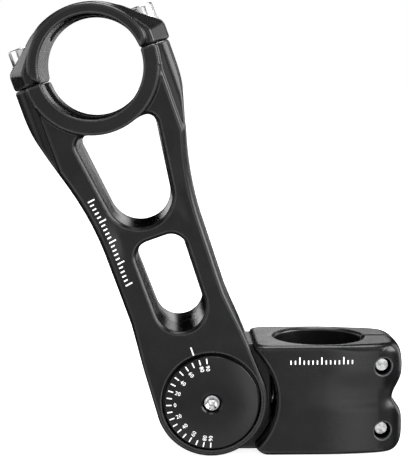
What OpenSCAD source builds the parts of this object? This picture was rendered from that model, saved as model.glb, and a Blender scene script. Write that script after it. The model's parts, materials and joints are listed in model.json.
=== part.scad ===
// Adjustable handlebar stem: a steerer clamp with a hinge knuckle, a long forged
// extension arm with two windows, a bolted faceplate and a lockable angle joint.
// Units are millimetres. +Z is up, the steerer axis is the Z axis and the bottom
// of the steerer clamp lies on Z = 0. The arm reaches towards -X.

/* [Steerer clamp] */
// Diameter of the steerer tube
steerer_d = 28.6; // [25.4:0.1:28.6]
// Height of the steerer clamp
clamp_h = 35; // [34:0.5:38]
// Wall around the steerer bore
clamp_wall = 3.2; // [3:0.1:4]
// Width of the slot at the back of the clamp
slot_w = 2.6; // [1.5:0.1:3]
// Sideways offset of that slot
slot_offset = 1.2; // [0:0.1:1.5]

/* [Arm] */
// Distance from the steerer axis to the hinge axis
hinge_reach = 35.2; // [35:0.1:38]
// Distance from the hinge axis to the handlebar axis
arm_len = 110.5; // [105.5:0.5:140.5]
// Angle of the arm above the horizontal, as drawn
arm_angle = 70.6; // [-75:0.1:75]
// Half width of the arm between the hinge and the windows
strut_half = 16.2; // [15.5:0.1:17]
// Half thickness of the arm at the crossbar between the windows
arm_half_t = 14.8; // [14:0.1:16]

/* [Handlebar clamp] */
// Diameter of the handlebar
bar_d = 31.8; // [31:0.1:31.8]
// Width of the handlebar clamp along the bar
bar_clamp_w = 41; // [40:0.5:46]
// Gap between the arm and the faceplate
plate_gap = 0.2; // [0.1:0.1:1.6]

/* [Angle joint] */
// Diameter of the angle dial
dial_d = 29.5; // [28:0.5:30]
// Number of locking teeth in each ring
lock_teeth = 36; // [24:12:36]
// Free gap between the facing teeth with the pivot bolt slackened
tooth_gap = 0.45; // [0.4:0.05:0.6]

/* [Hidden] */
$fn = 96;
through = 200;

// Steerer clamp
steerer_r = steerer_d / 2;
clamp_r = steerer_r + clamp_wall;
ear_x = 16.5;
ear_y = 5.5;
ear_r = 8;
lobe_x = 19;
lobe_r = 7;
waist_x = 22.4;
lobe_z = [lobe_r + 0.2, clamp_h - lobe_r - 0.2];
front_x = -21.8;

// Hinge knuckle and the cheeks that straddle it
hinge_z = clamp_h / 2;
face_proud = 0.3;
knuckle_r = clamp_h / 2 - face_proud;
knuckle_half = 10.4;
cheek_r = 17.5;
cheek_in = 10.8;
cheek_out = 17.5;
cheek_cut_r = 20.8;
slot_root = 18.2;

// Steerer clamp bolts, M5
m5_r = 2.5;
m5_head_r = 4.25;
m5_head_h = 5;
m5_hex = 4.62;
m5_hex_deep = 2.8;
m5_washer_r = 4.6;
m5_washer_t = 1;
thread_play = 0.05;
free_play = 0.25;
seat_y = 11.2;
steerer_bolt_end = -12.3;

// Angle joint, distances along the hinge axis counted from the middle
hub_r = 8;
hub_in = 8.4;
recess_r = dial_d / 2 + 0.8;
recess_floor = 14.6;
dial_under = 15.3;
dial_edge = 19.3;
dial_face = 19.8;
dial_chamfer = 0.5;
fit = 0.05;
cheek_bore_r = 9.5;
ring_in = 9.7;
ring_out = 14;
tooth_h = 0.8;
knuckle_ring_back = 8.2;
knuckle_ring_face = 10.3;
arm_ring_face = knuckle_ring_face + tooth_gap;
arm_ring_back = 12.8;
sleeve_r = 4.4;
sleeve_half = hub_in - 0.1;
dowel_r = 1.25;
dowel_at = 6.1;
dowel_in = 5.4;
dowel_out = 11;
m6_r = 2.95;
m6_hole = 3;
m6_head_r = 5;
m6_head_h = 5.6;
m6_hex = 5.77;
m6_hex_deep = 3.2;
m6_washer_t = 1;
head_pocket_r = 5.4;
head_pocket_floor = 13;
pivot_bolt_end = -18.9;
bolt_tip = 0.6;
seal_r = 12.5;
seal_tube = 0.5;
seal_groove = 0.85;
seal_y = dial_under + 0.15;

// Arm outline, u runs along the arm from the hinge, v across it
waist_u = 31;
waist_half = strut_half - 0.4;
ramp_start = 52;
ramp_bend = 80;
ramp_slope = 0.28;
face_half = 20.2;
boss_half_v = 25.3;
boss_half_y = 17.2;
boss_round = 5.5;
saddle_r = 20.8;
saddle_half_v = 19.8;
saddle_from = 8;
strut_top = arm_len - 4;
cheek_t_end = 22;
thin_u = 56;
thick_u = 90;
thick_half = 18.3;
split = arm_len + 0.4;
arm_flat = split - plate_gap / 2;
plate_flat = split + plate_gap / 2;
low_window = [[0, 30.2, 8.2], [3.1, 48.5, 5.5], [-3.1, 48.5, 5.5]];
high_window = [[0, 69.9, 11.6], [9.7, arm_len - 23.5, 4.6], [-9.7, arm_len - 23.5, 4.6]];

// Faceplate
bar_r = bar_d / 2;
plate_r = 23.1;
plate_drop = 3.5;
rim_r = 19.3;
plate_half_y = 17.6;
ear_half = 25.9;
ear_top = split + 6.6;
ear_shoulder = split + 5.5;
slope_v = 14.2;
slope_u = arm_len + 14.8;
facet_v = 20.6;
facet_u = split + 5.2;
facet_tilt = 56.2;
facet_turn = -28.9;
plate_bolt_v = 19.8;
plate_bolt_end = arm_len - 14.5;
plate_thread_end = arm_len - 16.5;

// Smooth step from 0 to 1
function ease(t) = (1 - cos(180 * max(0, min(1, t)))) / 2;

// Half width of the arm at the distance u from the hinge
function half_width(u) =
    u < waist_u ? cheek_r - (cheek_r - waist_half) * max(0, u) / waist_u
    : u < ramp_start ? waist_half + (strut_half - waist_half) * (u - waist_u) / (ramp_start - waist_u)
    : u < ramp_bend ? strut_half + ramp_slope * pow(u - ramp_start, 2) / (2 * (ramp_bend - ramp_start))
    : strut_half + ramp_slope * ((ramp_bend - ramp_start) / 2 + u - ramp_bend);

// Half thickness of the arm at the distance u from the hinge
function half_thickness(u) =
    u < thin_u ? cheek_out - (cheek_out - arm_half_t) * ease((u - cheek_t_end) / (thin_u - cheek_t_end))
    : arm_half_t + (thick_half - arm_half_t) * ease((u - thin_u) / (thick_u - thin_u));

// Outward direction of the tangent line from the round corner a to the round corner b
function tangent(a, b) =
    atan2(b[1] - a[1], b[0] - a[0]) - acos((a[2] - b[2]) / norm([b[0] - a[0], b[1] - a[1]]));
function on_corner(c, t) = [c[0] + c[2] * cos(t), c[1] + c[2] * sin(t)];

// Convex shape with round corners [x, y, radius], listed counter-clockwise
module rounded(corners) {
    n = len(corners);
    for (c = corners)
        translate([c[0], c[1]]) circle(r = c[2]);
    polygon([for (k = [0 : n - 1])
        let (a = corners[k], b = corners[(k + 1) % n], t = tangent(a, b))
        each [on_corner(a, t), on_corner(b, t)]]);
}

module rounded_rect(half_x, half_y, r) {
    rounded([[half_x - r, -half_y + r, r], [half_x - r, half_y - r, r],
        [-half_x + r, half_y - r, r], [-half_x + r, -half_y + r, r]]);
}

// Extrudes an outline drawn in X and Z along Y, centred on Y = 0
module along_y(width) {
    rotate([90, 0, 0])
        linear_extrude(height = width, center = true) children();
}

// Round bar along Y between two stations
module rod_y(r, y0, y1) {
    translate([0, y1, 0])
        rotate([90, 0, 0]) cylinder(r = r, h = y1 - y0);
}

// Turns a profile [radius, station] about the hinge axis, on the side +1 or -1
module turned(side, profile) {
    rotate([-90 * side, 0, 0])
        rotate_extrude() polygon(profile);
}

module at_hinge() {
    translate([-hinge_reach, 0, hinge_z]) children();
}

module arm_frame() {
    at_hinge() rotate([0, arm_angle - 90, 0]) children();
}

// Socket head cap screw along -Z with the seat of the head on Z = 0
module cap_screw(r, len, head_r, head_h, hex_d, hex_deep) {
    difference() {
        rotate_extrude()
            polygon([[0, -len], [r - bolt_tip, -len], [r, -len + bolt_tip], [r, 0], [head_r, 0],
                [head_r, head_h - bolt_tip], [head_r - bolt_tip, head_h], [0, head_h]]);
        translate([0, 0, head_h - hex_deep])
            cylinder(d = hex_d, h = hex_deep + 1, $fn = 6);
    }
}

module washer(r, hole, t) {
    difference() {
        cylinder(r = r, h = t);
        translate([0, 0, -1]) cylinder(r = hole, h = t + 2);
    }
}

module clamp_plan() {
    rounded([[0, 0, clamp_r], [ear_x, -ear_y, ear_r], [ear_x, ear_y, ear_r]]);
    translate([front_x, -clamp_r]) square([-front_x, 2 * clamp_r]);
}

module clamp_side() {
    translate([front_x, 0]) square([lobe_x - front_x, clamp_h]);
    translate([0, lobe_z[0]]) square([waist_x, lobe_z[1] - lobe_z[0]]);
    for (z = lobe_z)
        translate([lobe_x, z]) circle(r = lobe_r + 0.2);
}

module knuckle_side() {
    translate([-hinge_reach, hinge_z]) circle(r = knuckle_r);
    translate([-hinge_reach, hinge_z - knuckle_r])
        square([hinge_reach + front_x + 6, 2 * knuckle_r]);
}

module at_steerer_bolts() {
    for (z = lobe_z)
        translate([lobe_x, 0, z]) children();
}

// Sockets of one side of the knuckle, for the hub, the tooth ring and the dowels
module knuckle_sockets(side) {
    at_hinge() {
        turned(side, [[0, hub_in], [hub_r + fit, hub_in], [hub_r + fit, knuckle_half + 1],
            [0, knuckle_half + 1]]);
        turned(side, [[ring_in - fit, knuckle_ring_back], [ring_out + fit, knuckle_ring_back],
            [ring_out + fit, knuckle_half + 1], [ring_in - fit, knuckle_half + 1]]);
        for (s = [-1, 1])
            translate([s * dowel_at, 0, 0])
                turned(side, [[0, dowel_in], [dowel_r + fit, dowel_in], [dowel_r + fit, hub_in + 1],
                    [0, hub_in + 1]]);
    }
}

module steerer_clamp() {
    color([0.13, 0.13, 0.14])
    difference() {
        union() {
            difference() {
                intersection() {
                    linear_extrude(height = clamp_h) clamp_plan();
                    along_y(through) clamp_side();
                }
                at_hinge() rod_y(cheek_cut_r, -through, through);
            }
            along_y(2 * knuckle_half) knuckle_side();
        }
        translate([0, 0, -1]) cylinder(r = steerer_r, h = clamp_h + 2);
        translate([0, slot_offset - slot_w / 2, -1]) cube([through, slot_w, clamp_h + 2]);
        at_steerer_bolts() {
            rod_y(m5_r + thread_play, -through, 0);
            rod_y(m5_r + free_play, 0, through);
            rod_y(m5_washer_r + free_play, seat_y, through);
        }
        at_hinge() rod_y(sleeve_r + fit, -through, through);
        for (side = [-1, 1])
            knuckle_sockets(side);
    }
}

module steerer_bolts() {
    color([0.78, 0.78, 0.8])
    at_steerer_bolts()
        translate([0, seat_y + m5_washer_t, 0]) rotate([-90, 0, 0])
            cap_screw(m5_r, seat_y + m5_washer_t - steerer_bolt_end, m5_head_r, m5_head_h,
                m5_hex, m5_hex_deep);
}

module steerer_bolt_washers() {
    color([0.7, 0.7, 0.72])
    at_steerer_bolts()
        translate([0, seat_y, 0]) rotate([-90, 0, 0])
            washer(m5_washer_r, m5_r + fit, m5_washer_t);
}

// Flat ring with square radial teeth, from its back station to the crest of the teeth
module tooth_ring(side, back, face) {
    root = face > back ? face - tooth_h : face + tooth_h;
    low = min(back, root);
    color([0.62, 0.62, 0.64])
    at_hinge()
        rotate([-90 * side, 0, 0]) {
            translate([0, 0, low])
                linear_extrude(height = abs(root - back)) difference() {
                    circle(r = ring_out);
                    circle(r = ring_in);
                }
            translate([0, 0, min(root, face)])
                linear_extrude(height = tooth_h) difference() {
                    circle(r = ring_out);
                    circle(r = ring_in);
                    for (k = [0 : lock_teeth - 1])
                        rotate(k * 360 / lock_teeth) tooth_space();
                }
        }
}

module tooth_space() {
    a = 90 / lock_teeth;
    reach = 2 * ring_out;
    polygon([[0, 0], [reach * cos(a), -reach * sin(a)], [reach * cos(a), reach * sin(a)]]);
}

module pivot_sleeve() {
    color([0.72, 0.72, 0.7])
    at_hinge()
        difference() {
            rod_y(sleeve_r, -sleeve_half, sleeve_half);
            rod_y(m6_hole + 0.1, -through, through);
        }
}

module pivot_bolt() {
    seat = head_pocket_floor + m6_washer_t;
    color([0.8, 0.8, 0.82])
    at_hinge()
        translate([0, seat, 0]) rotate([-90, 0, 0])
            difference() {
                cap_screw(m6_r, seat - pivot_bolt_end, m6_head_r, m6_head_h, m6_hex, m6_hex_deep);
                translate([0, 0, pivot_bolt_end - seat - 1])
                    cylinder(r = 1.3, h = 2);
            }
}

module pivot_bolt_washer() {
    color([0.7, 0.7, 0.72])
    at_hinge()
        translate([0, head_pocket_floor, 0]) rotate([-90, 0, 0])
            washer(m6_head_r + 0.2, m6_hole + 0.05, m6_washer_t);
}

// Disc with a hub that reaches through the cheek into the knuckle
module lock_disc(side) {
    r = dial_d / 2;
    difference() {
        at_hinge()
            turned(side, [[0, hub_in], [hub_r, hub_in], [hub_r, dial_under],
                [seal_r - 0.7, dial_under], [seal_r - 0.7, dial_under + seal_groove],
                [seal_r + 0.7, dial_under + seal_groove], [seal_r + 0.7, dial_under],
                [r, dial_under], [r, dial_edge - dial_chamfer], [r - dial_chamfer, dial_edge],
                [m6_head_r + 1, dial_face], [0, dial_face]]);
        at_hinge()
            for (s = [-1, 1])
                translate([s * dowel_at, 0, 0])
                    turned(side, [[0, hub_in - 1], [dowel_r + fit, hub_in - 1],
                        [dowel_r + fit, dowel_out], [0, dowel_out]]);
        at_hinge() rod_y(m6_hole, -through, through);
    }
}

module angle_dial() {
    color([0.16, 0.16, 0.17])
    lock_disc(-1);
}

module lock_plate() {
    color([0.16, 0.16, 0.17])
    difference() {
        lock_disc(1);
        at_hinge() rod_y(head_pocket_r, head_pocket_floor, through);
    }
}

module dowels(side) {
    color([0.75, 0.75, 0.77])
    at_hinge()
        for (s = [-1, 1])
            translate([s * dowel_at, 0, 0])
                turned(side, [[0, dowel_in + 0.1], [dowel_r, dowel_in + 0.1],
                    [dowel_r, dowel_out - 0.1], [0, dowel_out - 0.1]]);
}

module disc_seal(side) {
    color([0.05, 0.05, 0.05])
    at_hinge()
        rotate([-90 * side, 0, 0]) translate([0, 0, seal_y])
            rotate_extrude() translate([seal_r, 0]) circle(r = seal_tube, $fn = 32);
}

// Outline of the arm in v and u, no wider than the given half width
module arm_outline(limit) {
    step = 4;
    stations = [0, waist_u, for (u = [ramp_start : step : arm_flat]) u, arm_flat];
    right = [for (u = stations) [min(limit, half_width(u)), u]];
    left = [for (k = [len(right) - 1 : -1 : 0]) [-right[k][0], right[k][1]]];
    circle(r = cheek_r);
    polygon(concat(right, left));
}

// Section of the arm in Y and u
module arm_section(top) {
    step = 4;
    stations = [-cheek_r - 1, for (u = [cheek_t_end : step : top]) u, top];
    right = [for (u = stations) [half_thickness(u), u]];
    left = [for (k = [len(right) - 1 : -1 : 0]) [-right[k][0], right[k][1]]];
    rotate([90, 0, 90])
        linear_extrude(height = through, center = true) polygon(concat(right, left));
}

module saddle_outline() {
    intersection() {
        union() {
            translate([0, arm_len]) circle(r = saddle_r);
            translate([-saddle_half_v, arm_len - saddle_from])
                square([2 * saddle_half_v, 2 * saddle_from]);
        }
        translate([-through / 2, 0]) square([through, arm_flat]);
    }
}

module at_plate_bolts() {
    for (v = [-1, 1])
        translate([v * plate_bolt_v, 0, 0]) children();
}

module extension_arm() {
    color([0.13, 0.13, 0.14])
    arm_frame()
    difference() {
        union() {
            difference() {
                union() {
                    intersection() {
                        along_y(through) arm_outline(face_half);
                        arm_section(strut_top);
                    }
                    intersection() {
                        along_y(through) arm_outline(boss_half_v);
                        arm_section(arm_flat);
                        translate([0, 0, ramp_start])
                            linear_extrude(height = through)
                                rounded_rect(boss_half_v, boss_half_y, boss_round);
                    }
                }
                along_y(through) rounded(low_window);
                along_y(through) rounded(high_window);
            }
            along_y(bar_clamp_w) saddle_outline();
        }
        translate([0, 0, arm_len]) rod_y(bar_r, -through, through);
        translate([-through / 2, -cheek_in, slot_root - through])
            cube([through, 2 * cheek_in, through]);
        at_plate_bolts()
            translate([0, 0, plate_thread_end]) cylinder(r = m5_r + thread_play, h = through);
        rod_y(cheek_bore_r, -through, through);
        for (side = [-1, 1]) {
            turned(side, [[0, recess_floor], [recess_r, recess_floor], [recess_r, through],
                [0, through]]);
            turned(side, [[0, 0], [ring_out + fit, 0], [ring_out + fit, arm_ring_back],
                [0, arm_ring_back]]);
        }
    }
}

module cheek_bushing(side) {
    color([0.85, 0.83, 0.76])
    at_hinge()
        turned(side, [[hub_r + fit, cheek_in + 0.1], [cheek_bore_r - 0.02, cheek_in + 0.1],
            [cheek_bore_r - 0.02, recess_floor - 0.1], [hub_r + fit, recess_floor - 0.1]]);
}

// Outline of the faceplate in v and u
module plate_outline() {
    side = [[ear_half, plate_flat], [ear_half, ear_shoulder], [slope_v, slope_u]];
    mirrored = [for (k = [len(side) - 1 : -1 : 0]) [-side[k][0], side[k][1]]];
    intersection() {
        union() {
            translate([0, arm_len - plate_drop]) circle(r = plate_r);
            polygon(concat(side, mirrored));
        }
        translate([-through / 2, plate_flat]) square([through, through]);
    }
}

module rim_outline() {
    intersection() {
        translate([0, arm_len]) circle(r = rim_r);
        translate([-through / 2, plate_flat]) square([through, through]);
    }
}

// Sloping facet across the upper corner of each ear, at both ends of the clamp
module ear_facets() {
    for (v = [0, 1], y = [0, 1])
        mirror([v, 0, 0]) mirror([0, y, 0])
            translate([facet_v, -plate_half_y, facet_u])
                rotate([0, facet_tilt, facet_turn])
                    translate([-30, -30, 0]) cube([60, 60, 30]);
}

module faceplate() {
    color([0.13, 0.13, 0.14])
    arm_frame()
    difference() {
        union() {
            intersection() {
                along_y(through) plate_outline();
                linear_extrude(height = through)
                    rounded_rect(ear_half, plate_half_y, boss_round);
            }
            along_y(bar_clamp_w) rim_outline();
        }
        translate([0, 0, arm_len]) rod_y(bar_r, -through, through);
        ear_facets();
        at_plate_bolts() {
            cylinder(r = m5_r + free_play, h = through);
            translate([0, 0, ear_top]) cylinder(r = m5_washer_r + free_play, h = through);
        }
    }
}

module faceplate_bolts() {
    seat = ear_top + m5_washer_t;
    color([0.78, 0.78, 0.8])
    arm_frame()
        at_plate_bolts()
            translate([0, 0, seat])
                cap_screw(m5_r, seat - plate_bolt_end, m5_head_r, m5_head_h, m5_hex, m5_hex_deep);
}

module faceplate_bolt_washers() {
    color([0.7, 0.7, 0.72])
    arm_frame()
        at_plate_bolts()
            translate([0, 0, ear_top]) washer(m5_washer_r, m5_r + fit, m5_washer_t);
}

steerer_clamp();
steerer_bolts();
steerer_bolt_washers();
tooth_ring(-1, knuckle_ring_back, knuckle_ring_face);  // knuckle_tooth_ring_near
tooth_ring(1, knuckle_ring_back, knuckle_ring_face);  // knuckle_tooth_ring_far
pivot_sleeve();
pivot_bolt();
pivot_bolt_washer();
angle_dial();
dowels(-1);  // dial_dowels
disc_seal(-1);  // dial_seal
lock_plate();
dowels(1);  // lock_plate_dowels
disc_seal(1);  // lock_plate_seal
extension_arm();
tooth_ring(-1, arm_ring_back, arm_ring_face);  // arm_tooth_ring_near
tooth_ring(1, arm_ring_back, arm_ring_face);  // arm_tooth_ring_far
cheek_bushing(-1);  // cheek_bushing_near
cheek_bushing(1);  // cheek_bushing_far
faceplate();
faceplate_bolts();
faceplate_bolt_washers();
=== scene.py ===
"""Looks of an adjustable bicycle handlebar stem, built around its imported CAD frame.

The three forgings (steerer clamp, extension arm, faceplate) are modelled as distance
fields in millimetres, meshed, and placed in the row frame. Turned parts are lathed.
"""

import json
import math

import bpy
import bmesh
import numpy as np
from mathutils import Matrix, Vector


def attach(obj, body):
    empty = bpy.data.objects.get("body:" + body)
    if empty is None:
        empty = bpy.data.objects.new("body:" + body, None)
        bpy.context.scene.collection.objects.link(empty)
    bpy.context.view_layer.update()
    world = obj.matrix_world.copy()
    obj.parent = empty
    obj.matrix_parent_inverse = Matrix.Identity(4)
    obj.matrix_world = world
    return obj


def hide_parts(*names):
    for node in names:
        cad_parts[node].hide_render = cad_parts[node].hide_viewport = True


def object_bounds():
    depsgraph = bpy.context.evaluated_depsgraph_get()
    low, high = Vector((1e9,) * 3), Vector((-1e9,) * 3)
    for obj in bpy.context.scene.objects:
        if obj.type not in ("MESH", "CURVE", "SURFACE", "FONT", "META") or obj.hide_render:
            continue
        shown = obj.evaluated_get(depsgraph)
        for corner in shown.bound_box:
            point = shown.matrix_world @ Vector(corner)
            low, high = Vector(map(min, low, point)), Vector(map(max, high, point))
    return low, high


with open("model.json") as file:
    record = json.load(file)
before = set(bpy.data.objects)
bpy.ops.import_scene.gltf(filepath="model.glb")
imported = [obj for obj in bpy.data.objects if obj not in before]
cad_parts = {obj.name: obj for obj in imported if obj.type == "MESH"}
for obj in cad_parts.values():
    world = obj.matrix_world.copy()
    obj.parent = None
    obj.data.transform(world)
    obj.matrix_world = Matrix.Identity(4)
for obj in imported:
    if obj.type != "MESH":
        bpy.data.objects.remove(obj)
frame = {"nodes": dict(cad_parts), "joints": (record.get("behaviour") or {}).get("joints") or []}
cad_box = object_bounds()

MM = 0.001

# ---------------------------------------------------------------- places from the frame
joints = {j["name"]: j for j in frame["joints"]}
hinge = Vector(joints["arm_angle"]["pos_m"])
along = Vector(joints["faceplate_lift"]["axis"]).normalized()
across = Vector((0, 1, 0)).cross(along).normalized()

# Local frame of the arm: X across it, Y along the hinge axis, Z along it from the hinge
ARM = Matrix.Translation(hinge) @ Matrix(
    ((across.x, 0, along.x), (across.y, 1, along.y), (across.z, 0, along.z))
).to_4x4() @ Matrix.Scale(MM, 4)
WORLD = Matrix.Scale(MM, 4)

# ---------------------------------------------------------------- sizes, millimetres
# Steerer clamp
STEERER_R = 14.3
CLAMP_H = 35.0
CLAMP_R = 17.5
FRONT_X = -21.8
# Hinge: knuckle of the clamp between the two cheeks of the arm
HINGE_X = hinge.x / MM
HINGE_Z = hinge.z / MM
KNUCKLE_R = 17.2
KNUCKLE_HALF = 10.4
CHEEK_R = 17.5
CHEEK_IN = 10.8
CHEEK_OUT = 17.5
CHEEK_CUT_R = 20.8
SLOT_ROOT = 18.2
RECESS_R = 15.55
RECESS_FLOOR = 14.6
# Handlebar clamp: saddle on the arm, boss behind it, faceplate over it
ARM_LEN = 110.5
SPLIT = 110.9
GAP = 0.2
BAR_R = 15.9
RELIEF = 1.3
SADDLE_R = 20.8
SADDLE_HALF_V = 19.8
SADDLE_HALF_Y = 20.5
BOSS_HALF_V = 25.3
BOSS_HALF_Y = 17.2
BOSS_ROUND = 5.5
FACE_HALF = 21.0
BOLT_V = 19.8
PLATE_R = 23.1
PLATE_DROP = 3.5
PLATE_HALF_Y = 17.6
RIM_R = 19.3
EAR_HALF = 25.9
EAR_TOP = 117.5
EAR_SHOULDER = 116.4
SLOPE_TOP = (14.2, 125.3)
# Dial and lock plate
DIAL_R = 14.75
DIAL_FACE = 19.8
DIAL_DOME = 0.8
DOME_FROM = 6
DISC_BACK = 15.3
# Holes for the M5 screws
THREAD_R = 2.55
CLEAR_R = 2.75
SEAT_R = 4.85


# ---------------------------------------------------------------- distance field helpers
def ease(t):
    t = np.clip(t, 0, 1)
    return t * t * (3 - 2 * t)


def smax(a, b, r):
    """Largest of two distances, with the edge between them rounded."""
    h = np.maximum(r - np.abs(a - b), 0) / r
    return np.maximum(a, b) + h * h * r / 4


def smin(a, b, r):
    """Smallest of two distances, with a fillet between them."""
    return -smax(-a, -b, r)


def bevelled(a, b, leg, soft):
    """Largest of two distances with a flat bevel of that leg, its edges eased."""
    return smax(smax(a, b, soft), (a + b + leg) * math.sqrt(0.5), soft)


def round_box(x, y, half_x, half_y, r):
    dx = np.abs(x) - (half_x - r)
    dy = np.abs(y) - (half_y - r)
    outside = np.hypot(np.maximum(dx, 0), np.maximum(dy, 0))
    return outside + np.minimum(np.maximum(dx, dy), 0) - r


def round_hull(x, y, corners):
    """Distance to the convex hull of circles (x, y, radius), listed counter-clockwise."""
    n = len(corners)
    turns = []
    best = -1e9
    for k in range(n):
        a, b = corners[k], corners[(k + 1) % n]
        way = math.atan2(b[1] - a[1], b[0] - a[0])
        t = way - math.acos((a[2] - b[2]) / math.hypot(b[0] - a[0], b[1] - a[1]))
        turns.append(t)
        best = np.maximum(best, (x - a[0]) * math.cos(t) + (y - a[1]) * math.sin(t) - a[2])
    for k, (cx, cy, r) in enumerate(corners):
        start = turns[k - 1]
        sweep = (turns[k] - start) % (2 * math.pi)
        angle = (np.arctan2(y - cy, x - cx) - start) % (2 * math.pi)
        best = np.where(angle < sweep, np.maximum(best, np.hypot(x - cx, y - cy) - r), best)
    return best


# ---------------------------------------------------------------- meshing
CORNERS = [(i, j, k) for i in (0, 1) for j in (0, 1) for k in (0, 1)]
EDGES = [(a, b) for a in CORNERS for b in CORNERS
         if sum(b) - sum(a) == 1 and all(q >= p for p, q in zip(a, b))]


def surface_net(field, lo, hi, cell):
    """Vertices and quads of the surface where the field is zero."""
    lo = np.array(lo, float)
    count = np.ceil((np.array(hi, float) - lo) / cell).astype(int) + 1
    axis = [lo[i] + cell * np.arange(count[i]) for i in range(3)]
    f = field(axis[0][:, None, None], axis[1][None, :, None], axis[2][None, None, :])
    f = np.broadcast_to(f, count)
    inside = f < 0
    total = np.zeros(count - 1, np.int8)
    for i, j, k in CORNERS:
        total += inside[i:count[0] - 1 + i, j:count[1] - 1 + j, k:count[2] - 1 + k]
    mixed = (total > 0) & (total < 8)
    cells = np.argwhere(mixed)
    number = np.full(mixed.shape, -1, np.int64)
    number[mixed] = np.arange(len(cells))
    place = np.zeros((len(cells), 3))
    crossings = np.zeros(len(cells))
    for a, b in EDGES:
        fa = f[tuple((cells + a).T)]
        fb = f[tuple((cells + b).T)]
        cut = (fa < 0) != (fb < 0)
        t = fa[cut] / (fa[cut] - fb[cut])
        place[cut] += np.array(a) + t[:, None] * (np.array(b) - np.array(a))
        crossings[cut] += 1
    vertices = lo + cell * (cells + place / crossings[:, None])
    quads = []
    for way in range(3):
        other = [i for i in range(3) if i != way]
        near = [slice(None)] * 3
        far = [slice(None)] * 3
        near[way] = slice(0, -1)
        far[way] = slice(1, None)
        flips = inside[tuple(near)] != inside[tuple(far)]
        for i in other:
            edge = [slice(None)] * 3
            edge[i] = [0, -1]
            flips[tuple(edge)] = False
        at = np.argwhere(flips)
        ring = []
        for p, q in ((-1, -1), (0, -1), (0, 0), (-1, 0)):
            step = np.zeros(3, int)
            step[other[0]] = p
            step[other[1]] = q
            ring.append(number[tuple((at + step).T)])
        ring = np.stack(ring, 1)
        outward = inside[tuple(at.T)] != (way == 1)
        ring[~outward] = ring[~outward][:, ::-1]
        quads.append(ring)
    return vertices, np.concatenate(quads)


def slope_of(field, p, h):
    """Gradient of the field at points p, by central differences."""
    g = np.empty_like(p)
    for i in range(3):
        step = np.zeros(3)
        step[i] = h
        a, b = p + step, p - step
        g[:, i] = (field(*a.T) - field(*b.T)) / (2 * h)
    return g


def settle(field, p, rounds=3, h=0.02):
    """Moves points onto the surface along the field's gradient."""
    for _ in range(rounds):
        g = slope_of(field, p, h)
        f = field(*p.T)
        size = np.maximum((g * g).sum(1), 0.05)
        p = p - g * np.clip(f / size, -0.5, 0.5)[:, None]
    return p


def bend_of(field, p, h):
    """How sharply the surface is convex (above 0) or concave (below 0), per millimetre."""
    total = -6 * field(*p.T)
    for i in range(3):
        step = np.zeros(3)
        step[i] = h
        total = total + field(*(p + step).T) + field(*(p - step).T)
    return total / (h * h)


def mesh_points(mesh):
    co = np.empty(len(mesh.vertices) * 3)
    mesh.vertices.foreach_get("co", co)
    return co.reshape(-1, 3)


def forged(name, field, lo, hi, cell, triangles, place):
    """A smooth object from a distance field, thinned where it is flat."""
    vertices, quads = surface_net(field, lo, hi, cell)
    vertices = settle(field, vertices)
    mesh = bpy.data.meshes.new(name)
    mesh.from_pydata(vertices.tolist(), [], quads.tolist())
    obj = bpy.data.objects.new(name, mesh)
    bpy.context.scene.collection.objects.link(obj)
    have = 2 * len(quads)
    if have > triangles:
        thin = obj.modifiers.new("thin", "DECIMATE")
        thin.ratio = triangles / have
        graph = bpy.context.evaluated_depsgraph_get()
        thinned = bpy.data.meshes.new_from_object(obj.evaluated_get(graph))
        obj.modifiers.clear()
        obj.data = thinned
        bpy.data.meshes.remove(mesh)
        mesh = thinned
        mesh.name = name
    points = settle(field, mesh_points(mesh), 2)
    normals = slope_of(field, points, 0.08)
    normals /= np.maximum(np.linalg.norm(normals, axis=1), 1e-9)[:, None]
    # Convexity per vertex, kept for the painted highlight that the anodised material puts on
    # convex edges.
    edge_convexity = mesh.attributes.new("edge", "FLOAT", "POINT")
    edge_convexity.data.foreach_set("value", bend_of(field, points, 0.25).astype(np.float32))
    turn = np.array(place.to_3x3().normalized())
    move = np.array(place)
    points = points @ move[:3, :3].T + move[:3, 3]
    mesh.vertices.foreach_set("co", points.astype(np.float32).ravel())
    mesh.polygons.foreach_set("use_smooth", [True] * len(mesh.polygons))
    mesh.update()
    mesh.normals_split_custom_set_from_vertices((normals @ turn.T).tolist())
    print(name, len(mesh.vertices), "vertices", sum(len(p.vertices) - 2 for p in mesh.polygons),
          "triangles")
    return obj


# ---------------------------------------------------------------- the arm
LOW_WINDOW = [(0.8, 31.6, 7.9), (3.9, 48.8, 5.2), (-2.3, 48.8, 5.2)]
HIGH_WINDOW = [(0.4, 68.6, 10.4), (10.1, 88.2, 3.4), (-9.3, 88.2, 3.4)]
WINDOW_DRAFT = 0.65
STRUT_FROM = 31
STRUT_TO = 52
SHOULDER = 80
NARROW_HALF = 15.8
STRUT_HALF = 16.2
FLARE = 0.28
WAIST = 56
WAIST_HALF_Y = 14.8
RELIEF_HALF = 8.5
BLOCK_FROM = 104.6
AXLE_R = 9.5
RING_R = 14.05
RING_OUT = 12.8
THREAD_DEEP = 16.5
PARTING_HALF = 3.0
SIDE_DRAFT = 1.0


def arm_half_width(u):
    """Half of the arm's width at a station: narrow beside the low window, flared at the boss."""
    hinge_part = CHEEK_R - 1.7 * np.clip(u, 0, STRUT_FROM) / STRUT_FROM
    strut = NARROW_HALF + 0.4 * (u - STRUT_FROM) / (STRUT_TO - STRUT_FROM)
    curve = STRUT_HALF + FLARE * (u - STRUT_TO) ** 2 / 56
    shoulder = STRUT_HALF + FLARE * (14 + u - SHOULDER)
    w = np.where(u < STRUT_TO, strut, np.where(u < SHOULDER, curve, shoulder))
    return smin(np.where(u < STRUT_FROM, hinge_part, w), BOSS_HALF_V, 1.5)


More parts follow.
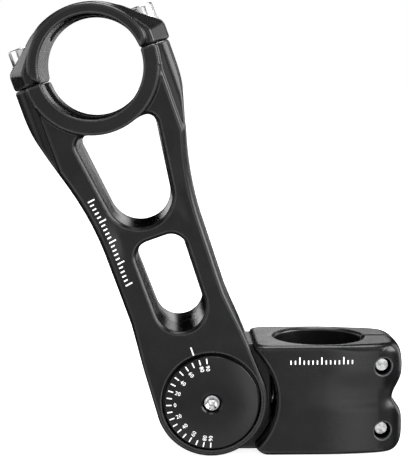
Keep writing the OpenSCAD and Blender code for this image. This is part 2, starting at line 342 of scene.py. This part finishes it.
def arm_half_thickness(u):
    """Half of the arm's thickness: thinnest at the waist between the windows."""
    down = CHEEK_OUT - 2.7 * ease((u - 22) / 34)
    up = WAIST_HALF_Y + 3.5 * ease((u - WAIST) / 34)
    return np.where(u < WAIST, down, up)


def arm_field(v, y, u):
    """Forged arm in its own frame: strut, boss, saddle, windows and the fork at the hinge."""
    a, s = np.abs(y), np.abs(v)
    w = arm_half_width(u)
    lean = np.where(u < 62, 1.0, 0.966)
    hollow = ease(1 - np.abs(u - WAIST) / 13) * ease((14.2 - s) / 5)
    t = arm_half_thickness(u) - 0.8 * hollow
    share = np.clip((a - PARTING_HALF) / (t - PARTING_HALF), 0, 1)
    shrink = SIDE_DRAFT * ease((u - 14) / 22) * share
    end = np.hypot(u, s) - CHEEK_R
    side = np.where(u < 0, end, (s - w) * lean)
    face = np.where(u < 0, end, (s - np.minimum(w, FACE_HALF)) * lean)
    strut = smax(face + shrink, a - t, 1.2)
    boss = smax(side + 0.3 * shrink, round_box(s, a, BOSS_HALF_V, BOSS_HALF_Y, BOSS_ROUND), 0.8)
    boss = smax(boss, a - t + 0.9, 1.5)
    body = smin(strut, boss, 0.7)
    window = np.minimum(round_hull(v, u, LOW_WINDOW), round_hull(v, u, HIGH_WINDOW))
    body = bevelled(body, -window - WINDOW_DRAFT * (1 - share), 0.9, 0.25)
    r = np.hypot(v, u - ARM_LEN)
    block = np.maximum(s - SADDLE_HALF_V, BLOCK_FROM - u)
    saddle = smax(smin(r - SADDLE_R, block, 1.0), a - SADDLE_HALF_Y, 0.9)
    body = smin(body, saddle, 1.0)
    body = smax(body, u - (SPLIT - GAP / 2), 1.0)
    body = bevelled(body, BAR_R - r, 0.45, 0.15)
    body = smax(body, -smax(r - BAR_R - RELIEF, a - RELIEF_HALF, 0.2), 0.15)
    slot = smax(a - CHEEK_IN, u - SLOT_ROOT, 1.2)
    body = smax(body, -slot, 0.4)
    axle = np.hypot(v, u)
    body = smax(body, AXLE_R - axle, 0.2)
    body = smax(body, -np.maximum(axle - RECESS_R, RECESS_FLOOR - a), 0.5)
    body = smax(body, -np.maximum(axle - RING_R, a - RING_OUT), 0.2)
    hole = np.maximum(np.hypot(s - BOLT_V, a) - THREAD_R, ARM_LEN - THREAD_DEEP - u)
    return smax(body, -hole, 0.4)


# ---------------------------------------------------------------- the faceplate
FACET = Vector((0.727, 0.402, 0.556)).normalized()
FACET_AT = Vector((20.6, PLATE_HALF_Y, 115.3))
EAR_WALL = Vector((0.905, 0.425))
CRESCENT_TURN = 0.72
CRESCENT_HALF = 7


def plate_field(v, y, u):
    """Faceplate in the arm's frame: arched middle, sloped and facetted ears, round rim."""
    a, s = np.abs(y), np.abs(v)
    r = np.hypot(v, u - ARM_LEN)
    run, rise = EAR_HALF - SLOPE_TOP[0], SLOPE_TOP[1] - EAR_SHOULDER
    slope = ((s - EAR_HALF) * rise + (u - EAR_SHOULDER) * run) / math.hypot(run, rise)
    ear = smax(smax(s - EAR_HALF, slope, 1.2), u - SLOPE_TOP[1], 1.0)
    outline = smin(np.hypot(v, u - ARM_LEN + PLATE_DROP) - PLATE_R, ear, 1.0)
    body = smax(outline, round_box(s, a, EAR_HALF, PLATE_HALF_Y, BOSS_ROUND), 1.2)
    facet = FACET.x * s + FACET.y * a + FACET.z * u - FACET.dot(FACET_AT)
    wall = EAR_WALL.x * (s - FACET_AT.x) + EAR_WALL.y * (a - FACET_AT.y)
    body = smax(body, smax(wall, facet, 0.6), 1.0)
    rim = smax(r - RIM_R, SPLIT + GAP / 2 - u, 5.0)
    rim = smax(rim, a - SADDLE_HALF_Y, 1.2)
    body = smin(body, rim, 0.5)
    body = smax(body, SPLIT + GAP / 2 - u, 1.0)
    body = bevelled(body, BAR_R - r, 0.45, 0.15)
    turn = np.abs(np.arctan2(v, u - ARM_LEN))
    deep = RELIEF * np.sqrt(np.clip(1 - (turn / CRESCENT_TURN) ** 2, 0, 1))
    ends = np.maximum(a - CRESCENT_HALF, (turn - CRESCENT_TURN) * BAR_R)
    crescent = smax(r - BAR_R - deep, ends, 0.2)
    body = smax(body, -crescent, 0.15)
    bolt = np.hypot(s - BOLT_V, a)
    body = smax(body, CLEAR_R - bolt, 0.3)
    seat = np.maximum(bolt - SEAT_R, EAR_TOP - u)
    return smax(body, -seat, 0.3)


# ---------------------------------------------------------------- the steerer clamp
EAR_END = 26.6
EAR_TAPER = 4.2
NOSE_X = 20.8
LOBE_X = 19.0
LOBE_Z = (7.2, 27.8)
LOBE_R = 7.2
NOTCH_X = 22.4
TONGUE_END = -16
SLOT_Y = 1.2
SLOT_HALF = 1.3
SEAT_FLOOR = 11.2
SLEEVE_R = 4.45
KEY_R = 8.05
KEY_IN = 8.4
TEETH_R = 11.85
TEETH_HALF = 2.2
TEETH_IN = 8.2


def near_lobe(x, z, at):
    """Distance to the nearer of the two axes across the ears, at that x."""
    return np.minimum(np.hypot(x - at, z - LOBE_Z[0]), np.hypot(x - at, z - LOBE_Z[1]))


def clamp_field(x, y, z):
    """Steerer clamp in the row frame: barrel, four ear lobes, side groove and knuckle."""
    groove = ease((z - 13.4) / 4.4) * ease((28.0 - z) / 8.0) * ease((x + 10) / 26)
    half = CLAMP_R - EAR_TAPER * (np.maximum(x, 0) / EAR_END) ** 2 - 0.9 * groove
    plan = smax(smax(np.abs(y) - half, FRONT_X - x, 5.0), x - EAR_END, 9.4)
    lobes = near_lobe(x, z, NOSE_X) - LOBE_R
    slab = np.abs(z - CLAMP_H / 2) - CLAMP_H / 2
    middle = np.maximum(x - NOTCH_X, np.abs(z - CLAMP_H / 2) - 10)
    start = np.maximum(x - NOSE_X, slab)
    profile = smin(smin(lobes, middle, 5.0), start, 0.5)
    soft = 1.6 + 1.6 * ease(x / 13) * ease((z - 24) / 6)
    body = smax(plan, np.maximum(profile, slab), soft)
    chamfer = 0.789 * (2.6 - z) - 0.614 * (x + 22.4)
    body = smax(body, chamfer, 1.0)
    hinge_r = np.hypot(x - HINGE_X, z - HINGE_Z)
    body = bevelled(body, CHEEK_CUT_R - 0.3 - hinge_r, 0.9, 0.3)
    neck = np.maximum(np.maximum(HINGE_X - x, x - TONGUE_END), np.abs(z - HINGE_Z) - KNUCKLE_R)
    tongue = np.minimum(hinge_r - KNUCKLE_R, neck)
    body = smin(body, smax(tongue, np.abs(y) - KNUCKLE_HALF, 1.0), 0.5)
    body = bevelled(body, STEERER_R - np.hypot(x, y), 0.8, 0.2)
    body = smax(body, -np.maximum(np.abs(y - SLOT_Y) - SLOT_HALF, -x), 0.15)
    bolt = near_lobe(x, z, LOBE_X)
    body = smax(body, CLEAR_R - bolt, 0.5)
    body = smax(body, -np.maximum(bolt - SEAT_R, SEAT_FLOOR - y), 0.4)
    body = smax(body, SLEEVE_R - hinge_r, 0.2)
    a = np.abs(y)
    body = smax(body, -np.maximum(hinge_r - KEY_R, KEY_IN - a), 0.2)
    ring = np.maximum(np.abs(hinge_r - TEETH_R) - TEETH_HALF, TEETH_IN - a)
    return smax(body, -ring, 0.2)


# ---------------------------------------------------------------- turned parts
def sharp_edges(mesh, degrees=32):
    """Smooth shading that breaks at the sharp edges."""
    bm = bmesh.new()
    bm.from_mesh(mesh)
    limit = math.radians(degrees)
    for f in bm.faces:
        f.smooth = True
    for e in bm.edges:
        if len(e.link_faces) == 2:
            e.smooth = e.calc_face_angle(0) < limit
    bm.to_mesh(mesh)
    bm.free()


def eased(points, steps=3):
    """Profile points (radius, station, rounding) with each corner turned into an arc."""
    out = []
    for k, (x, y, r) in enumerate(points):
        if r <= 0 or k in (0, len(points) - 1):
            out.append((x, y))
            continue
        p = Vector((x, y))
        a = (Vector(points[k - 1][:2]) - p).normalized()
        b = (Vector(points[k + 1][:2]) - p).normalized()
        for i in range(steps + 1):
            t = i / steps
            out.append(tuple(p + a * r * (1 - t) ** 2 + b * r * t ** 2))
    return out


def lathe(name, profile, place, segments=96):
    """Turns a closed or open profile [(radius, station)] about the local Z axis.
    A radius may be a function of the angle."""
    bm = bmesh.new()
    rings = []
    for radius, station in profile:
        if not callable(radius) and radius < 1e-6:
            rings.append([bm.verts.new((0, 0, station))])
            continue
        ring = []
        for k in range(segments):
            t = 2 * math.pi * k / segments
            r = radius(t) if callable(radius) else radius
            ring.append(bm.verts.new((r * math.cos(t), r * math.sin(t), station)))
        rings.append(ring)
    for a, b in zip(rings, rings[1:]):
        if len(a) == 1 and len(b) == 1:
            continue
        for k in range(segments):
            n = (k + 1) % segments
            if len(a) == 1:
                bm.faces.new((a[0], b[n], b[k]))
            elif len(b) == 1:
                bm.faces.new((a[k], a[n], b[0]))
            else:
                bm.faces.new((a[k], a[n], b[n], b[k]))
    bmesh.ops.recalc_face_normals(bm, faces=bm.faces)
    mesh = bpy.data.meshes.new(name)
    bm.to_mesh(mesh)
    bm.free()
    mesh.transform(place)
    if place.determinant() < 0:
        mesh.flip_normals()
    sharp_edges(mesh)
    obj = bpy.data.objects.new(name, mesh)
    bpy.context.scene.collection.objects.link(obj)
    return obj


def closed(points):
    return points + [points[0]]


def hexagon(across_flats):
    def radius(t):
        return across_flats / 2 / math.cos((t % (math.pi / 3)) - math.pi / 6)
    return radius


PITCH = 0.8
THREAD_DEPTH = 0.34
CROWN_R = 0.6


def cap_screw(r, length, head_r, head_h, hex_d, hex_deep, tip):
    """Profile of a socket head screw along -Z, the seat of its head at Z = 0."""
    thread_from = -length + tip
    thread_to = -length * 0.25
    profile = [(0, -length), (r - tip, -length)]
    steps = int((thread_to - thread_from) / PITCH * 6)
    for k in range(steps + 1):
        z = thread_from + (thread_to - thread_from) * k / steps

        def thread(t, z=z):
            phase = (z / PITCH - t / (2 * math.pi)) % 1.0
            return r - THREAD_DEPTH * abs(2 * phase - 1)
        profile.append((thread, z))
    profile += [(r, thread_to + 0.2), (r, 0), (head_r - 0.15, 0), (head_r, 0.15)]
    profile += [(head_r, head_h - CROWN_R)]
    for k in range(1, 5):
        t = k * math.pi / 8
        profile.append((head_r - CROWN_R + CROWN_R * math.cos(t),
                        head_h - CROWN_R + CROWN_R * math.sin(t)))
    profile += [(hex_d / 2 / math.cos(math.pi / 6) + 0.35, head_h)]
    profile += [(hexagon(hex_d), head_h - 0.3), (hexagon(hex_d), head_h - hex_deep)]
    profile += [(0, head_h - hex_deep - 0.8)]
    return profile


def at_hinge_axis(side):
    """Frame at the hinge with local Z pointing out of the cheek on that side."""
    turn = Matrix.Rotation(math.radians(-90 * side), 4, "X")
    return Matrix.Translation(hinge) @ turn @ Matrix.Scale(MM, 4)


def join(name, objects):
    """One object from several, keeping their sharp edges."""
    for o in bpy.context.selected_objects:
        o.select_set(False)
    for o in objects:
        o.select_set(True)
    bpy.context.view_layer.objects.active = objects[0]
    bpy.ops.object.join()
    objects[0].name = name
    objects[0].data.name = name
    return objects[0]


# ---------------------------------------------------------------- materials
def new_material(name):
    m = bpy.data.materials.new(name)
    m.use_nodes = True
    nodes = m.node_tree.nodes
    return m, nodes, m.node_tree.links, nodes["Principled BSDF"]


def noise(nodes, links, scale, detail=3.0, rough=0.55):
    """Noise in object space; a scale of 1000 has features about a millimetre wide."""
    co = nodes.new("ShaderNodeTexCoord")
    n = nodes.new("ShaderNodeTexNoise")
    n.inputs["Scale"].default_value = scale
    n.inputs["Detail"].default_value = detail
    n.inputs["Roughness"].default_value = rough
    links.new(co.outputs["Object"], n.inputs["Vector"])
    return n.outputs["Fac"]


def ramp(nodes, links, value, stops):
    """Colour from a value, by stops of (value, colour)."""
    r = nodes.new("ShaderNodeValToRGB")
    while len(r.color_ramp.elements) < len(stops):
        r.color_ramp.elements.new(0.5)
    for e, (at, colour) in zip(r.color_ramp.elements, stops):
        e.position = at
        e.color = (*colour, 1)
    links.new(value, r.inputs["Fac"])
    return r.outputs["Color"]


def spread(nodes, links, value, lo, hi):
    """Stretches a value from 0..1 to lo..hi."""
    m = nodes.new("ShaderNodeMapRange")
    m.inputs["To Min"].default_value = lo
    m.inputs["To Max"].default_value = hi
    links.new(value, m.inputs["Value"])
    return m.outputs["Result"]


def bump(nodes, links, shader, height, strength, distance):
    b = nodes.new("ShaderNodeBump")
    b.inputs["Strength"].default_value = strength
    b.inputs["Distance"].default_value = distance
    links.new(height, b.inputs["Height"])
    links.new(b.outputs["Normal"], shader.inputs["Normal"])


def anodised(name, dark, light, rough, painted_edge_highlight):
    """Satin black anodised aluminium: fine grain, faint cloudiness, and a painted highlight that
    lightens convex edges.
    """
    m, nodes, links, shader = new_material(name)
    grain = noise(nodes, links, 5200, 2.0)
    cloud = noise(nodes, links, 140, 4.0)
    base = ramp(nodes, links, cloud, [(0.3, dark), (0.7, light)])
    mixer = nodes.new("ShaderNodeMix")
    mixer.data_type = "RGBA"
    # Painted highlight: a lighter colour is mixed in where the surface is convex, so bevels and
    # rounded edges look lit.
    edge_convexity = nodes.new("ShaderNodeAttribute")
    edge_convexity.attribute_name = "edge"
    painted_highlight_amount = nodes.new("ShaderNodeMapRange")
    painted_highlight_amount.inputs["From Min"].default_value = 0.5
    painted_highlight_amount.inputs["From Max"].default_value = 2.5
    painted_highlight_amount.inputs["To Max"].default_value = 0.8
    links.new(edge_convexity.outputs["Fac"], painted_highlight_amount.inputs["Value"])
    links.new(painted_highlight_amount.outputs["Result"], mixer.inputs["Factor"])
    links.new(base, mixer.inputs["A"])
    mixer.inputs["B"].default_value = (*painted_edge_highlight, 1)
    links.new(mixer.outputs["Result"], shader.inputs["Base Color"])
    links.new(spread(nodes, links, cloud, rough - 0.05, rough + 0.07), shader.inputs["Roughness"])
    shader.inputs["Specular IOR Level"].default_value = 0.3
    bump(nodes, links, shader, grain, 0.25, 0.00003)
    return m


def metal(name, colour, rough, grain_scale=2600, strength=0.15, dull=0.82):
    """Plated or machined steel with a fine directionless grain and faint staining."""
    m, nodes, links, shader = new_material(name)
    grain = noise(nodes, links, grain_scale, 3.0)
    stain = noise(nodes, links, 700, 4.0)
    low = tuple(c * dull for c in colour)
    links.new(ramp(nodes, links, stain, [(0.3, low), (0.62, colour)]), shader.inputs["Base Color"])
    links.new(spread(nodes, links, grain, rough - 0.08, rough + 0.12), shader.inputs["Roughness"])
    shader.inputs["Metallic"].default_value = 1.0
    bump(nodes, links, shader, grain, strength, 0.00004)
    return m


def plain(name, low, high, rough, scale=900, strength=0.1):
    """Non-metal: paint, rubber or plastic with a fine texture."""
    m, nodes, links, shader = new_material(name)
    grain = noise(nodes, links, scale, 3.0)
    links.new(ramp(nodes, links, grain, [(0.35, low), (0.65, high)]), shader.inputs["Base Color"])
    links.new(spread(nodes, links, grain, rough - 0.06, rough + 0.06), shader.inputs["Roughness"])
    bump(nodes, links, shader, grain, strength, 0.00003)
    return m


# The last colour of each is the painted highlight on convex edges.
black = anodised("black_anodised", (0.0030, 0.0030, 0.0034), (0.0048, 0.0048, 0.0052), 0.25,
                 (0.065, 0.065, 0.067))
dial_black = anodised("dial_anodised", (0.003, 0.003, 0.0034), (0.0046, 0.0046, 0.0052), 0.24,
                      (0.065, 0.065, 0.067))
bolt_steel = metal("bolt_steel", (0.78, 0.78, 0.79), 0.2, strength=0.05, dull=0.85)
worn_steel = metal("worn_steel", (0.7, 0.7, 0.71), 0.24, strength=0.1, dull=0.4)
pivot_steel = metal("pivot_steel", (0.82, 0.82, 0.83), 0.2, strength=0.03, dull=0.8)
washer_steel = metal("washer_steel", (0.62, 0.62, 0.63), 0.34)
ring_steel = metal("ring_steel", (0.5, 0.5, 0.52), 0.36)
white_paint = plain("scale_white", (0.74, 0.74, 0.73), (0.86, 0.86, 0.85), 0.5)
rubber = plain("seal_rubber", (0.008, 0.008, 0.008), (0.018, 0.018, 0.018), 0.7, 1800, 0.3)
plastic = plain("bushing_plastic", (0.66, 0.62, 0.53), (0.78, 0.74, 0.66), 0.45)


def finish_piece(obj, body, material, slot, *nodes):
    """Gives a piece its material and body, and hides the CAD nodes that it stands for; the slot
    argument is not used.
    """
    obj.data.materials.clear()
    obj.data.materials.append(material)
    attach(obj, body)
    if nodes:
        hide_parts(*nodes)
    return obj


# ---------------------------------------------------------------- the forgings
arm = forged("forged_arm", arm_field, (-27, -21.6, -18.6), (27, 21.6, 111.6), 0.42, 190000, ARM)
finish_piece(arm, "arm", black, "black_alloy", "extension_arm")
plate = forged("forged_faceplate", plate_field, (-27, -21.6, 110.4), (27, 21.6, 132.4), 0.3,
               150000, ARM)
finish_piece(plate, "faceplate_set", black, "black_alloy", "faceplate")
clamp = forged("forged_steerer_clamp", clamp_field, (-53.4, -18.6, -1.1), (27.3, 18.6, 36.1), 0.36,
               190000, WORLD)
finish_piece(clamp, "base", black, "black_alloy", "steerer_clamp")


# ---------------------------------------------------------------- dial and lock plate
SEAL_FLOOR = 16.15
HUB_R = 8


def crown(r):
    """Height of the disc's slightly domed face."""
    return DIAL_FACE - DIAL_DOME * (np.maximum(r - DOME_FROM, 0) / 9) ** 2


def lock_disc(name, side, bore):
    top = [(bore, DIAL_FACE - 0.45), (bore + 0.45, DIAL_FACE)]
    face = [(r, crown(r)) for r in (DOME_FROM, 8, 10, 11, 12, 13, 13.7)]
    rim = eased([(14.2, crown(14.2), 0), (DIAL_R, crown(DIAL_R), 0.4), (DIAL_R, DISC_BACK, 0)], 4)
    under = [(13.2, DISC_BACK), (13.2, SEAL_FLOOR), (11.8, SEAL_FLOOR), (11.8, DISC_BACK),
             (HUB_R, DISC_BACK), (HUB_R, KEY_IN)]
    return lathe(name, closed(top + face + rim + under + [(bore, KEY_IN)]),
                 at_hinge_axis(side), 160)


finish_piece(lock_disc("dial_disc", -1, 3.0), "base", dial_black, "dial_black", "angle_dial")
finish_piece(lock_disc("lock_disc", 1, 5.4), "base", dial_black, "dial_black", "lock_plate")


# ---------------------------------------------------------------- screws
def screw(name, place, length, r, head_r, head_h, hex_d, cup=0):
    """A socket head screw; cup is the radius of a hollow in its end."""
    profile = cap_screw(r, length, head_r, head_h, hex_d, head_h * 0.56, 0.6)
    if cup:
        hollow = [(cup * k / 6, 0.2 - length + 0.9 * (1 - (k / 6) ** 2)) for k in range(7)]
        profile = hollow + [(cup + 0.2, -length)] + profile[1:]
    return lathe(name, profile, place, 120)


def along_z(frame_matrix, x, y, z):
    return frame_matrix @ Matrix.Translation((x, y, z))


# Radii of thread and head, height of the head, width of the socket, radius of the cup
M5 = (2.5, 4.25, 5.0, 4.0)
M6_CUPPED = (2.95, 5.0, 5.6, 5.0, 1.9)
plate_screws = [screw("screw", along_z(ARM, v * BOLT_V, 0, EAR_TOP + 1), EAR_TOP + 1 - 96, *M5)
                for v in (-1, 1)]
finish_piece(join("faceplate_screws", plate_screws), "faceplate_set", bolt_steel, "bolt_steel",
             "faceplate_bolts")

TOWARDS_BACK = Matrix.Rotation(math.radians(-90), 4, "X")
clamp_screws = [screw("screw", along_z(WORLD, LOBE_X, 12.2, z) @ TOWARDS_BACK, 23.8, *M5)
                for z in LOBE_Z]
finish_piece(join("clamp_screws", clamp_screws), "base", worn_steel, "bolt_steel",
             "steerer_bolts")
hinge_screw = screw("hinge_screw", along_z(at_hinge_axis(1), 0, 0, 14), 32.9, *M6_CUPPED)
finish_piece(hinge_screw, "pivot_screw", pivot_steel, "bolt_steel", "pivot_bolt")


# ---------------------------------------------------------------- marks
LINE = 0.42
TICK_AT = 13.4
TICK = (1.6, 0.36)
SCALE_ZERO = 182.6
SCALE_STEP = 9.54
FIGURE_H = 1.25
LONG_TICK = 2.3
SHORT_TICK = 1.3


def bar(bm, x, y, length, width, turn):
    """Flat painted bar on the XY plane of a mark, turned by that many degrees."""
    m = (Matrix.Translation((x, y, 0)) @ Matrix.Rotation(math.radians(turn), 4, "Z")
         @ Matrix.Diagonal((length, width, 1, 1)))
    pieces = max(1, round(length / 0.8))
    corners = [m @ Vector((k / pieces - 0.5, side, 0)) for k in range(pieces + 1)
               for side in (-0.5, 0.5)]
    points = [bm.verts.new(c) for c in corners]
    for k in range(pieces):
        bm.faces.new((points[2 * k], points[2 * k + 2], points[2 * k + 3], points[2 * k + 1]))


def figure(bm, words, x, y, height, turn):
    """A number with its centre at x, y."""
    curve = bpy.data.curves.new("figure", "FONT")
    curve.body = words
    curve.size = height * 1.38
    curve.align_x = "CENTER"
    curve.align_y = "CENTER"
    curve.resolution_u = 3
    curve.space_character = 1.05
    holder = bpy.data.objects.new("figure", curve)
    mesh = bpy.data.meshes.new_from_object(holder)
    mesh.transform(Matrix.Translation((x, y, 0)) @ Matrix.Rotation(math.radians(turn), 4, "Z"))
    bm.from_mesh(mesh)
    bpy.data.meshes.remove(mesh)
    bpy.data.objects.remove(holder)
    bpy.data.curves.remove(curve)


def depth_on(field, a, b, start):
    """Distance of the near surface from the middle plane, found by stepping inwards."""
    y = np.full(len(a), -start, float)
    for _ in range(60):
        y = y + np.maximum(field(a, y, b), 0) * 0.7
    return y


def lay_marks(name, bm, field, frame_matrix, start, body, slot, lift=0.035):
    """Presses a flat drawing onto a surface, a hair above it."""
    mesh = bpy.data.meshes.new(name)
    bmesh.ops.triangulate(bm, faces=bm.faces)
    bm.to_mesh(mesh)
    bm.free()
    flat = mesh_points(mesh)
    y = depth_on(field, flat[:, 0], flat[:, 1], start) - lift
    points = np.stack([flat[:, 0], y, flat[:, 1], np.ones(len(y))], 1) @ np.array(frame_matrix).T
    mesh.vertices.foreach_set("co", points[:, :3].astype(np.float32).ravel())
    mesh.update()
    obj = bpy.data.objects.new(name, mesh)
    bpy.context.scene.collection.objects.link(obj)
    return finish_piece(obj, body, white_paint, slot)


def dial_scale():
    """Ticks every ten degrees from -90 to 90, with the larger numbers inside them."""
    bm = bmesh.new()
    numbered = {0: 11.5, 20: 11.1, 40: 11.1, 60: 11.2, 80: 11.3, 90: 11.2}
    for step in range(-9, 10):
        way = SCALE_ZERO - SCALE_STEP * step
        c, s = math.cos(math.radians(way)), math.sin(math.radians(way))
        bar(bm, TICK_AT * c, TICK_AT * s, *TICK, way)
        if abs(step * 10) in numbered:
            r = numbered[abs(step * 10)]
            figure(bm, str(abs(step * 10)), r * c, r * s, FIGURE_H, way + 180)
    return bm


def dial_surface(x, y, z):
    return -crown(np.hypot(x, z)) - y


hinge_frame = Matrix.Translation(hinge) @ WORLD
lay_marks("dial_scale", dial_scale(), dial_surface, hinge_frame, 22, "base", "dial_black", 0.02)

# Index line above the dial, then a plain ruler in place of the arm's lettering
bm = bmesh.new()
bar(bm, -0.4, 17.2, LINE, 2.7, 0)
for k in range(21):
    u = 43.5 + k * 1.42
    edge = 1.5 - arm_half_width(np.array(u)) + 1.2
    long = LONG_TICK if k % 5 == 0 else SHORT_TICK
    lean = math.degrees(math.atan2(0.42, 2.84))
    bar(bm, edge + long / 2 + 0.3, u, long, LINE, lean)
lay_marks("arm_marks", bm, arm_field, ARM, 24, "arm", "black_alloy")

# Plain ruler in place of the clamp's lettering
bm = bmesh.new()
for k in range(15):
    tall = LONG_TICK if k % 5 == 2 else SHORT_TICK
    bar(bm, -10.4 + 1.38 * k, 29.2 + tall / 2, 0.4, tall, 0)
lay_marks("clamp_marks", bm, clamp_field, WORLD, 19, "base", "black_alloy")


# ---------------------------------------------------------------- the rest of the CAD nodes
LOOKS = {
    "steerer_bolts": bolt_steel, "steerer_bolt_washers": washer_steel,
    "knuckle_tooth_ring_near": ring_steel, "knuckle_tooth_ring_far": ring_steel,
    "pivot_sleeve": ring_steel, "pivot_bolt_washer": washer_steel, "pivot_bolt": bolt_steel,
    "dial_dowels": bolt_steel, "lock_plate_dowels": bolt_steel,
    "dial_seal": rubber, "lock_plate_seal": rubber,
    "arm_tooth_ring_near": ring_steel, "arm_tooth_ring_far": ring_steel,
    "cheek_bushing_near": plastic, "cheek_bushing_far": plastic,
    "faceplate_bolts": bolt_steel, "faceplate_bolt_washers": washer_steel,
    "steerer_clamp": black, "extension_arm": black, "faceplate": black,
    "angle_dial": dial_black, "lock_plate": dial_black,
}
for node, look in LOOKS.items():
    mesh = frame["nodes"][node].data
    if not mesh.materials:
        mesh.materials.append(look)
    for k in range(len(mesh.materials)):
        mesh.materials[k] = look


# ---------------------------------------------------------------- stage, lights, camera
def area(name, at, look_at, size, power):
    """Rectangular light, hidden from the camera."""
    light = bpy.data.lights.new(name, "AREA")
    light.shape = "RECTANGLE"
    light.size, light.size_y = size
    light.energy = power
    obj = bpy.data.objects.new(name, light)
    obj.location = at
    obj.rotation_euler = (Vector(look_at) - Vector(at)).to_track_quat("-Z", "Y").to_euler()
    obj.visible_camera = False
    bpy.context.scene.collection.objects.link(obj)
    return obj


middle = (cad_box[0] + cad_box[1]) / 2


def card(name, azimuth, elevation, distance, size, radiance):
    """Soft white card facing the object; azimuth from straight behind, to the right."""
    a, e = math.radians(azimuth), math.radians(elevation)
    way = Vector((math.sin(a) * math.cos(e), math.cos(a) * math.cos(e), math.sin(e)))
    return area(name, middle + way * distance, middle, size,
                math.pi * size[0] * size[1] * radiance)


card("front_wall", 180, 8, 2.6, (3.4, 2.2), 0.8)
card("front_right", 157, -2, 2.4, (0.8, 1.8), 2.0)
card("low_front", 172, -38, 1.6, (2.4, 1.0), 1.3)
card("left_wall", -108, 8, 2.4, (2.4, 2.2), 1.5)
card("low_left", -130, -34, 1.6, (1.6, 1.0), 1.0)
card("left_back", -66, 10, 2.4, (1.0, 1.8), 0.8)
card("right_back", 47, 5, 2.4, (1.0, 1.8), 1.3)
card("right_wall", 118, 6, 2.4, (1.7, 2.0), 0.8)
card("high_front", 178, 56, 2.2, (2.4, 1.4), 0.8)
card("back_card", 5.5, 0, 1.3, (0.14, 0.42), 1.2)
card("back_high", 11, 14, 1.3, (0.3, 0.24), 1.35)
card("back_low_left", -15, 1, 1.3, (0.2, 0.24), 2.0)
card("back_left", -42, 10, 1.2, (0.4, 0.6), 1.6)
card("key_top", 20, 82, 0.75, (0.55, 0.5), 11.0)
card("key_right", 98, 22, 0.8, (0.6, 0.6), 9.0)

world = bpy.data.worlds.new("studio")
bpy.context.scene.world = world
world.use_nodes = True
background = world.node_tree.nodes["Background"]
background.inputs["Color"].default_value = (1, 1, 1, 1)
background.inputs["Strength"].default_value = 1.0
world.cycles_visibility.glossy = False

floor_mesh = bpy.data.meshes.new("studio_floor")
bm = bmesh.new()
bmesh.ops.create_circle(bm, cap_ends=True, segments=64, radius=6.0)
bm.to_mesh(floor_mesh)
bm.free()
floor = bpy.data.objects.new("studio_floor", floor_mesh)
floor.location.z = cad_box[0].z - 0.0002
bpy.context.scene.collection.objects.link(floor)
m, nodes, links, shader = new_material("studio_floor")
shader.inputs["Base Color"].default_value = (0.5, 0.5, 0.5, 1)
shader.inputs["Roughness"].default_value = 0.9
shader.inputs["Specular IOR Level"].default_value = 0.1
shader.inputs["Emission Color"].default_value = (1, 1, 1, 1)
shader.inputs["Emission Strength"].default_value = 0.85
floor_mesh.materials.append(m)
floor.visible_glossy = False

camera_data = bpy.data.cameras.new("camera")
camera = bpy.data.objects.new("camera", camera_data)
bpy.context.scene.collection.objects.link(camera)
# Camera fitted to the clamp's height, the hinge and the bore in the photograph
camera_data.sensor_width = 36
camera_data.lens = 108.98
camera_data.clip_start = 0.01
camera.location = (-0.0504, -0.4473, 0.1232)
yaw, pitch = math.radians(1.704), math.radians(-6.91)
aim = Vector((math.sin(yaw) * math.cos(pitch), math.cos(yaw) * math.cos(pitch), math.sin(pitch)))
camera.rotation_euler = aim.to_track_quat("-Z", "Y").to_euler()
bpy.context.scene.camera = camera
bpy.context.scene.view_settings.view_transform = "Standard"
